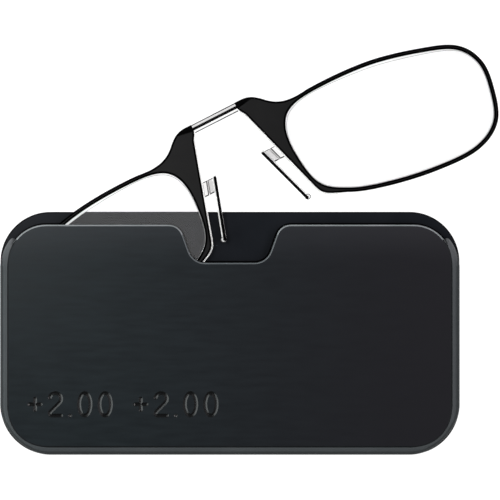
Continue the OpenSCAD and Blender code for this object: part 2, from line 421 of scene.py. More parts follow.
def anticlockwise(loop):
    turn = sum(a.co.x * b.co.y - b.co.x * a.co.y for a, b in zip(loop, loop[1:] + loop[:1]))
    return loop if turn > 0 else loop[::-1]


def fill(bm, loops):
    """Closes a flat face whose border is one outline and any holes, with islands in them."""
    if len(loops) == 1:
        bm.faces.new(loops[0])
        return
    corners = []
    borders = []
    for loop in loops:
        borders.append(range(len(corners), len(corners) + len(loop)))
        corners += anticlockwise(loop)
    flat = [Vector((vertex.co.x, vertex.co.y)) for vertex in corners]
    inside = 1
    made = delaunay_2d_cdt(flat, [], [list(border) for border in borders], inside, 1e-6)
    sources, triangles, owners = made[3], made[2], made[5]
    for triangle, owner in zip(triangles, owners):
        if len(owner) % 2:
            bm.faces.new([corners[sources[i][0]] for i in triangle])


def slab(name, outline, z_low, z_high, low_r, high_r, materials, place=in_place, holes=(),
         steps=6, part=flat_or_edge):
    """Flat piece with rounded edges. The outline runs anticlockwise and its holes clockwise."""
    bm = bmesh.new()
    rings = edge_profile(z_low, z_high, low_r, high_r, steps)
    walls = [add_rings(bm, loop, rings) for loop in (outline, *holes)]
    fill(bm, [rows[0] for rows in walls])
    fill(bm, [rows[-1] for rows in walls])
    obj = make_object(name, bm, materials, place, part if len(materials) > 1 else None)
    even_normals(obj)
    return obj


def sweep(bm, sections):
    """Skins a row of sections, each a closed ring of points, and caps the two ends."""
    rows = [[bm.verts.new(p) for p in section] for section in sections]
    join_rows(bm, rows)
    bm.faces.new(rows[0])
    bm.faces.new(rows[-1])


# ---------------------------------------------------------------- materials

def new_material(name):
    material = bpy.data.materials.new(name)
    material.use_nodes = True
    nodes = material.node_tree.nodes
    return material, nodes, material.node_tree.links, nodes["Principled BSDF"]


def noise(nodes, links, scale_mm, detail=3, streak=1.0):
    """Noise whose grains are about scale_mm across on the object, and streak times as long."""
    place = nodes.new("ShaderNodeTexCoord")
    stretch = nodes.new("ShaderNodeMapping")
    stretch.inputs["Scale"].default_value = (1 / streak, 1, 1)
    texture = nodes.new("ShaderNodeTexNoise")
    texture.inputs["Scale"].default_value = 1 / (scale_mm * MM)
    texture.inputs["Detail"].default_value = detail
    links.new(place.outputs["Object"], stretch.inputs["Vector"])
    links.new(stretch.outputs["Vector"], texture.inputs["Vector"])
    return texture


def spread_values(nodes, links, texture, low, high):
    """Maps a noise to a range of values."""
    ramp = nodes.new("ShaderNodeMapRange")
    ramp.inputs["From Min"].default_value = NOISE_LOW
    ramp.inputs["From Max"].default_value = NOISE_HIGH
    ramp.inputs["To Min"].default_value = low
    ramp.inputs["To Max"].default_value = high
    links.new(texture.outputs["Fac"], ramp.inputs["Value"])
    return ramp.outputs["Result"]


def spread_colours(nodes, links, texture, low, high):
    """Maps a noise to a range of colours."""
    ramp = nodes.new("ShaderNodeValToRGB")
    ramp.color_ramp.elements[0].position = NOISE_LOW
    ramp.color_ramp.elements[1].position = NOISE_HIGH
    ramp.color_ramp.elements[0].color = (*low, 1)
    ramp.color_ramp.elements[1].color = (*high, 1)
    links.new(texture.outputs["Fac"], ramp.inputs["Fac"])
    return ramp.outputs["Color"]


def bump(nodes, links, texture, height_mm):
    node = nodes.new("ShaderNodeBump")
    node.inputs["Strength"].default_value = 1
    node.inputs["Distance"].default_value = height_mm * MM
    links.new(texture.outputs["Fac"], node.inputs["Height"])
    return node.outputs["Normal"]


def plastic(name, dark, light, patch_mm, roughness, specular, grain_mm, grain_height):
    """Moulded plastic: colour and gloss vary in soft patches over a fine moulded grain."""
    material, nodes, links, shader = new_material(name)
    patches = noise(nodes, links, patch_mm)
    grain = noise(nodes, links, grain_mm, detail=2)
    links.new(spread_colours(nodes, links, patches, dark, light), shader.inputs["Base Color"])
    links.new(spread_values(nodes, links, patches, *roughness), shader.inputs["Roughness"])
    links.new(bump(nodes, links, grain, grain_height), shader.inputs["Normal"])
    shader.inputs["Specular IOR Level"].default_value = specular
    shader.inputs["IOR"].default_value = 1.5
    return material


def along(nodes, links, axis, start_mm, end_mm):
    """Runs from 0 to 1 between two places along an axis of the object."""
    place = nodes.new("ShaderNodeTexCoord")
    split = nodes.new("ShaderNodeSeparateXYZ")
    ramp = nodes.new("ShaderNodeMapRange")
    ramp.interpolation_type = "SMOOTHSTEP"
    ramp.inputs["From Min"].default_value = start_mm * MM
    ramp.inputs["From Max"].default_value = end_mm * MM
    links.new(place.outputs["Object"], split.inputs["Vector"])
    links.new(split.outputs[axis], ramp.inputs["Value"])
    return ramp.outputs["Result"]


def mix_colours(nodes, links, factor, first, second, blend="MIX"):
    """Mixes two colours. The second one is a plain colour."""
    node = nodes.new("ShaderNodeMix")
    node.data_type = "RGBA"
    node.blend_type = blend
    links.new(factor, node.inputs["Factor"])
    links.new(first, node.inputs[6])
    node.inputs[7].default_value = (*second, 1)
    return node.outputs[2]


def rail_satin():
    """The rail's satin grey, with a painted highlight that makes it paler towards its two tips."""
    material = plastic("rail_satin_grey_painted_tip_highlight", (0.043, 0.049, 0.051), (0.051, 0.057, 0.059), 9,
                       (0.42, 0.5), 0.092, 0.12, 0.003)
    nodes, links = material.node_tree.nodes, material.node_tree.links
    base = nodes["Principled BSDF"].inputs["Base Color"]
    # Painted highlight: grey added from 15 mm to 23 mm up, towards the tips.
    up = along(nodes, links, "Y", 15, 23)
    links.new(mix_colours(nodes, links, up, base.links[0].from_socket, (0.03, 0.028, 0.03), "ADD"),
              base)
    return material


def soft_touch():
    """The panel's rubbery coat: fine grain and faint streaks, with painted light that makes it a
    lighter slate towards the left and darker and more neutral towards the right, and a painted sheen
    towards the pocket's mouth."""
    material, nodes, links, shader = new_material("soft_touch_black_painted_light")
    streaks = noise(nodes, links, 1.2, streak=6)
    grain = noise(nodes, links, 0.14, detail=2)
    slate = spread_colours(nodes, links, streaks, (0.0014, 0.0044, 0.006),
                           (0.0042, 0.0082, 0.0102))
    # Painted light: lighter and greener to the left, darker and more violet to the right.
    across = along(nodes, links, "X", -40, 60)
    # Painted sheen: paler towards the top edge and the pocket's mouth.
    up = along(nodes, links, "Y", 16, 30)
    body = mix_colours(nodes, links, across, slate, (0.0028, 0.0026, 0.0046))
    coat_with_painted_light = mix_colours(nodes, links, up, body, (0.01, 0.01, 0.011), "ADD")
    links.new(coat_with_painted_light, shader.inputs["Base Color"])
    links.new(spread_values(nodes, links, streaks, 0.42, 0.5), shader.inputs["Roughness"])
    links.new(bump(nodes, links, grain, 0.005), shader.inputs["Normal"])
    shader.inputs["Specular IOR Level"].default_value = 0.14
    shader.inputs["IOR"].default_value = 1.5
    return material


def clear(name, tint, transmission, roughness, ior, grain_mm, grain_height, patch_mm=4.0):
    """Clear plastic or silicone, with faint haze patches and moulding ripple."""
    material, nodes, links, shader = new_material(name)
    haze = noise(nodes, links, patch_mm)
    ripple = noise(nodes, links, grain_mm, detail=1)
    shade = tuple(0.94 * c for c in tint)
    links.new(spread_colours(nodes, links, haze, shade, tint), shader.inputs["Base Color"])
    links.new(spread_values(nodes, links, haze, *roughness), shader.inputs["Roughness"])
    links.new(bump(nodes, links, ripple, grain_height), shader.inputs["Normal"])
    shader.inputs["Transmission Weight"].default_value = transmission
    shader.inputs["IOR"].default_value = ior
    return material


SOFT_TOUCH = soft_touch()
# Paler copies of the panel's black for its rounded edges: painted highlight, brighter along the upper
# edge and dimmer round the notch.
PANEL_EDGE_PAINTED_HIGHLIGHT = plastic("panel_edge_painted_highlight", (0.15, 0.17, 0.17), (0.2, 0.21, 0.22), 6,
                            (0.4, 0.5), 0.31, 0.1, 0.002)
PANEL_NOTCH_PAINTED_HIGHLIGHT = plastic("panel_notch_painted_highlight", (0.065, 0.075, 0.08), (0.08, 0.09, 0.095), 6,
                           (0.4, 0.5), 0.31, 0.1, 0.002)
PANEL_DARK_EDGE = plastic("panel_edge_dark", (0.0035, 0.0046, 0.0054), (0.0046, 0.0062, 0.0069), 6,
                          (0.5, 0.6), 0.12, 0.1, 0.002)
# Glossier near-black for the sunk mark's grooves, darker than the panel as painted shade.
MARK_GLOSS_PAINTED_SHADE = plastic("mark_gloss_painted_shade", (0.0012, 0.0015, 0.0017), (0.0019, 0.0023, 0.0025), 3,
                     (0.26, 0.32), 0.4, 0.1, 0.001)
RAIL_SATIN = rail_satin()
# Darker copy of the rail's grey for its steeper flanks: painted shade.
RAIL_FLANK_PAINTED_SHADE = plastic("rail_flank_painted_shade", (0.026, 0.03, 0.031), (0.032, 0.036, 0.037), 9,
                     (0.5, 0.6), 0.039, 0.12, 0.003)
PLATE_GLOSS = plastic("plate_gloss_black", (0.006, 0.0072, 0.0092), (0.0086, 0.0098, 0.0124), 11,
                      (0.28, 0.34), 0.032, 0.3, 0.0012)
# Near-black copy of the plate's finish: painted shade on its rounded edges and painted shadow round
# the pocket's mouth.
PLATE_PAINTED_SHADE = plastic("plate_painted_shade", (0.00046, 0.00046, 0.00054), (0.00077, 0.00077, 0.00085),
                     6, (0.4, 0.5), 0.015, 0.3, 0.001)
FOAM_GREY = plastic("adhesive_foam", (0.077, 0.081, 0.085), (0.13, 0.13, 0.14), 0.6,
                    (0.8, 0.95), 0.23, 0.35, 0.12)
GRIP_SILICONE = plastic("grip_silicone", (0.046, 0.046, 0.05), (0.069, 0.069, 0.073), 3,
                        (0.6, 0.75), 0.31, 0.2, 0.01)
RIM_SATIN = plastic("rim_satin_black", (0.0014, 0.0014, 0.0014), (0.002, 0.002, 0.002), 5,
                    (0.36, 0.44), 0.14, 0.1, 0.0025)
# Darker copy of the rim's black without gloss, for its rounded edges: painted shade.
RIM_EDGE_PAINTED_SHADE = plastic("rim_edge_painted_shade", (0.00039, 0.00039, 0.00039), (0.00069, 0.00069, 0.00069), 5,
                   (0.4, 0.5), 0.0, 0.1, 0.001)
FERRULE_BLACK = plastic("ferrule_black", (0.00031, 0.00031, 0.00039), (0.00062, 0.00062, 0.00069), 2,
                        (0.3, 0.4), 0.015, 0.1, 0.001)
WIRE_BLACK = plastic("wire_black_oxide", (0.00039, 0.00039, 0.00046), (0.00077, 0.00077, 0.00085), 1.5,
                     (0.3, 0.4), 0.023, 0.06, 0.001)
SPINE_BLACK = plastic("spine_black", (0.00031, 0.00031, 0.00039), (0.00062, 0.00062, 0.00069), 2,
                      (0.3, 0.4), 0.015, 0.1, 0.001)
LENS_CLEAR = clear("lens_clear", (1, 1, 1), 1.0, (0.0, 0.012), 1.5, 30, 0.0005, 18)
LENS_BEVEL = clear("lens_bevel_ground", (1, 1, 1), 0.45, (0.3, 0.4), 1.3, 0.5, 0.002)
# Grey-tinted clear for the narrow ridge inside the lens's bevel: a painted shade line.
LENS_RIDGE_PAINTED_SHADE = clear("lens_ridge_painted_shade", (0.3, 0.3, 0.31), 0.8, (0.3, 0.4), 1.3, 0.5, 0.002)
SLEEVE_CLEAR = clear("sleeve_clear", (0.98, 0.98, 0.98), 1.0, (0.0, 0.02), 1.2, 1.2, 0.0005)
SLEEVE_SHADE = clear("sleeve_shaded", (0.7, 0.69, 0.69), 1.0, (0.02, 0.05), 1.2, 1.2, 0.001)
# Dark-tinted clear for the sleeve's rounded edges: painted shade.
SLEEVE_EDGE_PAINTED_SHADE = clear("sleeve_edge_painted_shade", (0.02, 0.02, 0.02), 0.6, (0.1, 0.2), 1.2, 1.2, 0.001)
TAB_CLEAR = clear("tab_clear", (0.95, 0.94, 0.94), 1.0, (0.02, 0.05), 1.2, 0.9, 0.0005, 1.2)
# Dark-tinted clear for the rounded edges of the tab and its web: painted shade.
TAB_EDGE_PAINTED_SHADE = clear("tab_edge_painted_shade", (0.006, 0.006, 0.006), 0.25, (0.1, 0.2), 1.2, 0.9, 0.0005)
# Grey tints of the clear plastic for the tab's web and its crease bar: painted shade.
LEAF_PAINTED_SHADE = clear("leaf_painted_shade", (0.68, 0.67, 0.67), 1.0, (0.05, 0.15), 1.2, 0.5, 0.0005, 1.2)
CREASE_PAINTED_SHADE = clear("crease_painted_shade", (0.48, 0.47, 0.47), 1.0, (0.05, 0.15), 1.2, 0.5, 0.0005, 1.2)
PAD_SILICONE = clear("pad_silicone", (1, 1, 0.98), 0.5, (0.1, 0.2), 1.2, 0.8, 0.003)
# Dark-tinted silicone for the bead's rounded edges: painted shade.
BEAD_EDGE_PAINTED_SHADE = clear("bead_edge_painted_shade", (0.16, 0.16, 0.16), 0.5, (0.1, 0.2), 1.2, 0.8, 0.003)
TRIM_CLEAR = clear("trim_clear", (1, 1, 0.98), 0.55, (0.1, 0.2), 1.2, 0.8, 0.002)


# ---------------------------------------------------------------- pod

def own(obj, body, slot, *nodes):
    """Says which body a piece rides on and which CAD nodes it stands for. The finish, slot, is not
    used.
    """
    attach(obj, body)
    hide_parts(*nodes)
    return obj


def make_back_plate():
    """Gloss plate with painted shade on its rounded edges and a strip of painted shadow round the
    pocket's mouth, which shows as a dark line beside the panel.
    """
    bm = bmesh.new()
    outline = rounded_rectangle(PLATE_LOW, PLATE_HIGH, POD_CORNER_R, 24)
    rings = edge_profile(PLATE_LOW.z, PLATE_HIGH.z, PLATE_EDGE_R, PLATE_EDGE_R)
    wall = add_rings(bm, outline, rings)
    painted_shadow_loop = [bm.verts.new((*p, PLATE_HIGH.z)) for p in inset_closed(panel_outline(), -PAINTED_SHADOW_W)]
    fill(bm, [wall[0]])
    fill(bm, [wall[-1], painted_shadow_loop])
    painted_shadow_face = bm.faces.new(painted_shadow_loop)

    def plate_part(centre, normal):
        inside = (centre - painted_shadow_face.calc_center_median()).length < 1e-6
        return 1 if inside else flat_or_edge(centre, normal)

    plate = make_object("back_plate", bm, (PLATE_GLOSS, PLATE_PAINTED_SHADE), part=plate_part)
    even_normals(plate)
    own(plate, "pod", "pod_gloss", "pod_back_plate")


def make_adhesive():
    outline = rounded_rectangle(FOAM_LOW, FOAM_HIGH, 8, 16)
    foam = slab("adhesive_foam_pad", outline, FOAM_LOW.z, FOAM_HIGH.z, 0.12, 0.06, (FOAM_GREY,))
    own(foam, "pod", "foam", "adhesive_pad")


def mitred(points, i, closed):
    """Offset, one unit to the left, of the stroke's side at a point of its path."""
    n = len(points)
    before = left_normal(points[i - 1], points[i]) if closed or i else None
    after = left_normal(points[i], points[(i + 1) % n]) if closed or i < n - 1 else None
    before, after = before or after, after or before
    middle = (before[0] + after[0], before[1] + after[1])
    share = (middle[0] ** 2 + middle[1] ** 2) / 2
    return (middle[0] / share, middle[1] / share)


def groove_rows(bm, path, z, closed):
    """Left side, bottom and right side of a V-shaped groove along a path."""
    sides = [mitred(path, i, closed) for i in range(len(path))]
    h = MARK_HALF_STROKE
    left = [bm.verts.new((p[0] + h * n[0], p[1] + h * n[1], z)) for p, n in zip(path, sides)]
    middle = [bm.verts.new((*p, z - MARK_DEPTH)) for p in path]
    right = [bm.verts.new((p[0] - h * n[0], p[1] - h * n[1], z)) for p, n in zip(path, sides)]
    join_rows(bm, [left, middle, right], closed)
    return left, middle, right


def round_end(bm, bottom, start, stop):
    """Round end of a groove: a fan from its bottom to a half circle, anticlockwise."""
    steps = 8
    angle = math.atan2(start.co.y - bottom.co.y, start.co.x - bottom.co.x)
    rim = [start]
    for i in range(1, steps):
        a = angle + math.pi * i / steps
        rim.append(bm.verts.new((bottom.co.x + MARK_HALF_STROKE * math.cos(a),
                                 bottom.co.y + MARK_HALF_STROKE * math.sin(a), start.co.z)))
    rim.append(stop)
    for a, b in zip(rim, rim[1:]):
        bm.faces.new((bottom, a, b))
    for side in (start, stop):
        bm.edges.get((bottom, side)).smooth = False
    return rim[1:-1]


def open_groove(bm, path, z):
    """Groove with two round ends. Returns the loops that it cuts in the surface."""
    left, middle, right = groove_rows(bm, path, z, False)
    first = round_end(bm, middle[0], left[0], right[0])
    last = round_end(bm, middle[-1], right[-1], left[-1])
    return [first + right + last + left[::-1]]


def closed_groove(bm, path, z):
    left, _, right = groove_rows(bm, path, z, True)
    return [left, right]


def two_path(x, y):
    """Middle line of a two: a bow, its straight back, a round heel and a flat foot."""
    h = MARK_HALF_STROKE
    r = MARK_W / 2 - h
    slant = 45
    bow = arc((x + MARK_W / 2, y + MARK_H - h - r), r, 170, -slant, 16)
    along = (-math.sin(math.radians(slant)), -math.cos(math.radians(slant)))
    heel_r = 0.55
    straight = (bow[-1][1] - (y + h) - heel_r * (1 - along[0])) / -along[1]
    heel_x = bow[-1][0] + along[0] * straight - along[1] * heel_r
    heel = arc((heel_x, y + h + heel_r), heel_r, 180 - slant, 270, 8)
    return bow + heel + [(x + MARK_W - h, y + h)]


def nought_path(x, y):
    rx, ry = MARK_W / 2 - MARK_HALF_STROKE, MARK_H / 2 - MARK_HALF_STROKE
    steps = 40
    angles = [2 * math.pi * i / steps for i in range(steps)]
    return [(x + MARK_W / 2 + rx * math.cos(a), y + MARK_H / 2 + ry * math.sin(a))
            for a in angles]


def plus_groove(bm, x, y, z):
    """Two crossed grooves that share their bottom."""
    h = MARK_HALF_STROKE
    arm = MARK_W / 2 - h
    cx, cy = x + MARK_W / 2, y + MARK_H / 2
    centre = bm.verts.new((cx, cy, z - MARK_DEPTH))
    inner = [bm.verts.new((cx + h * a, cy + h * b, z))
             for a, b in ((1, -1), (1, 1), (-1, 1), (-1, -1))]
    loop = []
    for i, (dx, dy) in enumerate(((1, 0), (0, 1), (-1, 0), (0, -1))):
        bottom = bm.verts.new((cx + arm * dx, cy + arm * dy, z - MARK_DEPTH))
        start = bm.verts.new((cx + arm * dx + h * dy, cy + arm * dy - h * dx, z))
        stop = bm.verts.new((cx + arm * dx - h * dy, cy + arm * dy + h * dx, z))
        bm.faces.new((centre, inner[i], start, bottom))
        bm.faces.new((centre, bottom, stop, inner[(i + 1) % 4]))
        loop += [inner[i], start, *round_end(bm, bottom, start, stop), stop]
    return [loop]


def point_groove(bm, x, y, z):
    h = MARK_HALF_STROKE
    bottom = bm.verts.new((x + h, y + h, z - MARK_DEPTH))
    rim = [bm.verts.new((*p, z)) for p in arc((x + h, y + h), h, 0, 345, 23)]
    for a, b in zip(rim, rim[1:] + rim[:1]):
        bm.faces.new((bottom, a, b))
    return [rim]


def strength_mark(bm, x, y, z):
    """Sinks one lens strength, +2.00, into the surface and returns the loops that it cuts."""
    point_x = x + 2 * MARK_PITCH
    nought_x = point_x + MARK_PITCH - MARK_W + 2 * MARK_HALF_STROKE
    loops = plus_groove(bm, x, y, z)
    loops += open_groove(bm, two_path(x + MARK_PITCH, y), z)
    loops += point_groove(bm, point_x, y, z)
    for i in (0, 1):
        loops += closed_groove(bm, nought_path(nought_x + i * MARK_PITCH, y), z)
    return loops


def panel_part(centre, normal):
    """0 for the flat faces, 1 for the upper edge, paler as painted highlight, 2 for the sides and the
    bottom, 3 for the mark, darker as painted shade, and 4 for the notch's edge, a dimmer painted
    highlight."""
    if abs(normal.z) > FLAT:
        return 0
    inside = MARK_AT[1] - 1 < centre.y < MARK_AT[1] + MARK_H + 1 and abs(centre.x) < MARK_REACH
    if inside and normal.z > 0.3:
        return 3
    arc_down = 1 - math.sin(math.radians(PAINTED_HIGHLIGHT_ANGLE))
    painted_highlight_from = PANEL_HIGH.y - PANEL_CORNER_R * arc_down
    if abs(centre.x) < NOTCH_REACH and 0 < centre.y < PANEL_HIGH.y - NOTCH_TOP_R:
        return 4
    return 1 if centre.y > painted_highlight_from else 2


def make_front_panel():
    """Panel with rounded edges, the thumb notch and the sunk strengths of the two lenses."""
    bm = bmesh.new()
    z_low, z_high = PANEL_LOW.z, PANEL_HIGH.z
    wall = add_rings(bm, panel_outline(), edge_profile(z_low, z_high, 0.12, PANEL_EDGE_R, 8))
    loops = [wall[-1]]
    second = MARK_AT[0] + 5 * MARK_PITCH + 2 * MARK_HALF_STROKE
    for x in (MARK_AT[0], second):
        loops += strength_mark(bm, x, MARK_AT[1], z_high)
    fill(bm, loops)
    fill(bm, [wall[0]])
    panel = make_object("front_panel", bm,
                        (SOFT_TOUCH, PANEL_EDGE_PAINTED_HIGHLIGHT, PANEL_DARK_EDGE, MARK_GLOSS_PAINTED_SHADE,
                         PANEL_NOTCH_PAINTED_HIGHLIGHT), part=panel_part)
    even_normals(panel)
    own(panel, "pod", "pod_soft_touch", "pod_front_panel")


def rail_height(offset):
    """Height of the rail's rounded top at an offset from its middle line."""
    foot = RAIL_LOW.z + RAIL_FOOT
    rise = RAIL_HIGH.z - foot
    shoulder = RAIL_W / 2 - BAND_W
    along = min(max((offset - shoulder) / BAND_W, 0), 1)
    return foot + rise * math.sqrt(1 - along ** 2)


def rail_section(share, reach, inset):
    """(offset, z) points round the rail's section. share goes from 0, the plain section, to 1,
    the one with two rounded sides; reach is how far past the end's centre the section lies, and
    inset is how far its outer side stands back from the plate's edge."""
    half = RAIL_W / 2
    steps = 16
    half_here = math.sqrt(max(half ** 2 - reach ** 2, 0))
    narrowed = (half - inset) / half
    top = []
    for i in range(steps + 1):
        o = half_here * math.cos(math.pi * i / steps)
        rounded = rail_height(math.hypot(o, reach))
        on_band = reach > 0 or o > half - BAND_W
        plain = rounded if reach > 0 else rail_height(o) if on_band else PANEL_LOW.z
        top.append((o * narrowed if o > 0 else o, plain + (rounded - plain) * share))
    return [(half_here * narrowed, RAIL_LOW.z)] + top + [(-half_here, RAIL_LOW.z)]


def rail_path():
    """Middle line of the right half of the rail, from the bottom up: (point, normal, inset)."""
    middle_r = POD_CORNER_R - RAIL_W / 2
    x = PLATE_HIGH.x - POD_CORNER_R
    low_y = PLATE_LOW.y + POD_CORNER_R
    bottom = PLATE_LOW.y + RAIL_W / 2
    steps = 24
    path = [((x * i / 8, bottom), (0, -1), 0) for i in range(8)]
    for i in range(steps + 1):
        a = math.radians(-90 + 90 * i / steps)
        inset = RAIL_CORNER_INSET * math.sin(math.pi * i / steps) ** 2
        path.append(((x + middle_r * math.cos(a), low_y + middle_r * math.sin(a)),
                     (math.cos(a), math.sin(a)), inset))
    for i in range(1, 10):
        path.append(((x + middle_r, low_y + (RAIL_TIP_Y - low_y) * i / 10), (1, 0), 0))
    for i in range(steps + 1):
        a = math.radians(RAIL_TIP_ANGLE * i / steps)
        path.append(((x + middle_r * math.cos(a), RAIL_TIP_Y + middle_r * math.sin(a)),
                     (math.cos(a), math.sin(a)), RAIL_CORNER_INSET * i / steps))
    return path


def rail_part(centre, normal):
    """0 for the top of the rail, whose lighter grey reaches further down its two tips as painted
    highlight, and 1 for its flanks, a darker copy as painted shade.
    """
    towards_tip = min(max((centre.y - RAIL_TIP_Y) / RAIL_TIP_FADE, 0), 1)
    least = RAIL_TOP_TILT + (RAIL_TIP_TILT - RAIL_TOP_TILT) * towards_tip
    return 0 if normal.z > least else 1


def make_rail():
    half = rail_path()
    sections = []
    rounding = 3
    for index, (point, normal, inset) in enumerate(half):
        share = max(0, index - (len(half) - 1 - rounding)) / rounding
        sections.append((point, normal, rail_section(share, 0, inset)))
    end, out, inset = half[-1]
    ahead = (-out[1], out[0])
    cap_steps = 10
    for i in range(1, cap_steps + 1):
        reach = RAIL_W / 2 * math.sin(math.pi / 2 * i / cap_steps) * 0.999
        point = (end[0] + ahead[0] * reach, end[1] + ahead[1] * reach)
        sections.append((point, out, rail_section(1, reach, inset)))
    solid = []
    for point, normal, section in sections:
        solid.append([(point[0] + normal[0] * o, point[1] + normal[1] * o, z)
                      for o, z in section])
    mirrored = [[(-x, y, z) for x, y, z in section] for section in solid[:0:-1]]
    bm = bmesh.new()
    sweep(bm, mirrored + solid)
    rail = make_object("side_rail", bm, (RAIL_SATIN, RAIL_FLANK_PAINTED_SHADE), part=rail_part)
    even_normals(rail)
    own(rail, "pod", "pod_rail", "pod_side_rail")


def finish_grips():
    """The grip pads' own shape is right, so they only take a finish."""
    for node in ("left_grip_pad", "right_grip_pad"):
        mesh = frame["nodes"][node].data
        mesh.materials.clear()
        mesh.materials.append(GRIP_SILICONE)


# ---------------------------------------------------------------- glasses

def side_name(side):
    return "right" if side == RIGHT else "left"


def rim_part(centre, normal):
    """0 for the flat faces and the seat of the ferrule, and 1 for the other edges, which take a darker
    copy of the black as painted shade.
    """
    across_seat = NOSE_EDGE[-1][0] + RIM_EDGE_R < centre.x < FERRULE_END + RIM_EDGE_R / 2
    if across_seat and centre.y > FERRULE_LOW - RIM_EDGE_R:
        return 0
    return flat_or_edge(centre, normal)


def make_rim(side):
    name = side_name(side)
    outline = rim_outline()[::-1]
    rim = slab(f"{name}_rim_frame", outline, -RIM_T / 2, RIM_T / 2, RIM_EDGE_R, RIM_EDGE_R,
               (RIM_SATIN, RIM_EDGE_PAINTED_SHADE), on_glasses(side), holes=[LENS_OUTLINE], part=rim_part)
    own(rim, f"{name}_half", "rim_black", f"{name}_rim")


def lens_sag(point):
    r = math.hypot(point[0] - LENS_CENTRE[0], point[1] - LENS_CENTRE[1])
    return LENS_FACE_R - math.sqrt(LENS_FACE_R ** 2 - r ** 2)


def bevel_width(point):
    """The ground bevel is widest along the top of the lens, towards its two upper corners."""
    up = min(max((point[1] + 13) / 6, 0), 1)
    outwards = min(max((point[0] - 22) / 14, 0), 1)
    inwards = min(max((24 - point[0]) / 6, 0), 1) * 0.6
    return BEVEL_NARROW + (BEVEL_WIDE - BEVEL_NARROW) * up * max(outwards, inwards)


def lens_inset(points, extra):
    """Moves the lens's outline inwards past its bevel, and by a little more."""
    n = len(points)
    moved = []
    for i, p in enumerate(points):
        normal = left_normal(points[i - 1], points[(i + 1) % n])
        width = bevel_width(p) + extra
        moved.append((p[0] + width * normal[0], p[1] + width * normal[1]))
    return moved


def make_lens(side):
    """Lens with two domed faces, a ground bevel inside the rim and the flange in its groove, and a
    narrow ridge inside the bevel tinted grey as painted shade.
    """
    name = side_name(side)
    bm = bmesh.new()
    edge = LENS_OUTLINE[::-1]
    inner = lens_inset(edge, RIDGE_W)
    shares = [i / 8 for i in range(1, 8)] + [0.97, 1]
    flanges = []
    for face in (1, -1):
        dome = []
        for share in shares:
            ring = [(LENS_CENTRE[0] + (x - LENS_CENTRE[0]) * share,
                     LENS_CENTRE[1] + (y - LENS_CENTRE[1]) * share) for x, y in inner]
            dome.append([(*p, face * (LENS_T / 2 - lens_sag(p))) for p in ring])
        bevel_in = lens_inset(edge, 0)
        bevel_out = inset_closed(edge, 0.02)
        rim = [[(*p, face * (LENS_T / 2 - lens_sag(p) - RIDGE_DROP)) for p in bevel_in],
               [(*p, face * (LENS_T / 2 - lens_sag(p) - BEVEL_DROP)) for p in bevel_out],
               [(*p, face * FLANGE_T / 2) for p in bevel_out],
               [(*p, face * FLANGE_T / 2) for p in inset_closed(edge, -FLANGE_W)]]
        rows = [[bm.verts.new(p) for p in row] for row in dome + rim]
        n = len(shares)
        join_rows(bm, rows[:n])
        join_rows(bm, rows[n - 1:n + 1], material=1)
        join_rows(bm, rows[n:], material=2)
        top = bm.verts.new((*LENS_CENTRE, face * LENS_T / 2))
        for a, b in zip(rows[0], rows[0][1:] + rows[0][:1]):
            bm.faces.new((top, a, b))
        flanges.append(rows[-1])
    join_rows(bm, flanges, material=2)
    lens = make_object(f"{name}_lens_blank", bm, (LENS_CLEAR, LENS_RIDGE_PAINTED_SHADE, LENS_BEVEL),
                       on_glasses(side))
    own(lens, f"{name}_half", "lens_clear", f"{name}_lens")


def make_ferrule(side):
    name = side_name(side)
    ferrule = slab(f"{name}_ferrule_cap", ferrule_outline(), -FERRULE_T / 2, FERRULE_T / 2,
                   0.12, 0.12, (FERRULE_BLACK,), on_glasses(side), steps=4)
    own(ferrule, f"{name}_half", "ferrule_black", f"{name}_ferrule")


def make_wire(side):
    """Half of the wire, which bends at its own hinge on the glasses; this piece is baked in place and
    not attached to a body.
    """
    name = side_name(side)
    sides = 24
    steps = 36
    sections = []
    for i in range(steps + 1):
        x = WIRE_END * i / steps
        sections.append([(x, WIRE_R * math.cos(2 * math.pi * k / sides) - WIRE_DROP,
                          WIRE_R * math.sin(2 * math.pi * k / sides)) for k in range(sides)])
    bm = bmesh.new()
    sweep(bm, sections)
    wire = make_object(f"{name}_wire_half", bm, (WIRE_BLACK,), on_glasses(side))
    across_joint(wire, side)
    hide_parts("bridge_wire")


def across_joint(obj, side):
    """Bakes the placement of one half of the bridge into its mesh."""
    place = on_glasses(side)
    middle = place((0, 0, 0)) * MM
    rim_end = place((BRIDGE_HALF, 0, 0)) * MM
    if side == RIGHT:
        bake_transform(obj)
    else:
        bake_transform(obj)


def sleeve_section():
    """(y, z) points round the sleeve: a flat band with rounded edges."""
    half = SLEEVE_T / 2
    r = SLEEVE_EDGE_R
    low, top = SLEEVE_LOW + r, SLEEVE_TOP - r
    lower = arc((low, r - half), r, 270, 180, 4) + arc((low, half - r), r, 180, 90, 4)
    upper = arc((top, half - r), r, 90, 0, 4) + arc((top, r - half), r, 0, -90, 4)
    return lower + [(SLEEVE_SHADE_FROM, half)] + upper + [(SLEEVE_SHADE_FROM, -half)]


def sleeve_part(centre, normal):
    """0 for the clear faces, 1 for the shaded ones above the wire and 2 for the edges, tinted dark as
    painted shade.
    """
    if not SLEEVE_LOW + SLEEVE_EDGE_R < centre.y < SLEEVE_TOP - SLEEVE_EDGE_R:
        return 2
    return 1 if centre.y > SLEEVE_SHADE_FROM else 0


def make_sleeve(side):
    name = side_name(side)
    steps = 24
    bm = bmesh.new()
    sections = [[(SLEEVE_START + (SLEEVE_END - SLEEVE_START) * i / steps, y, z)
                 for y, z in sleeve_section()] for i in range(steps + 1)]
    sweep(bm, sections)
    sleeve = make_object(f"{name}_sleeve_half", bm, (SLEEVE_CLEAR, SLEEVE_SHADE, SLEEVE_EDGE_PAINTED_SHADE),
                         on_glasses(side), sleeve_part)
    across_joint(sleeve, side)
    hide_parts("bridge_sleeve")


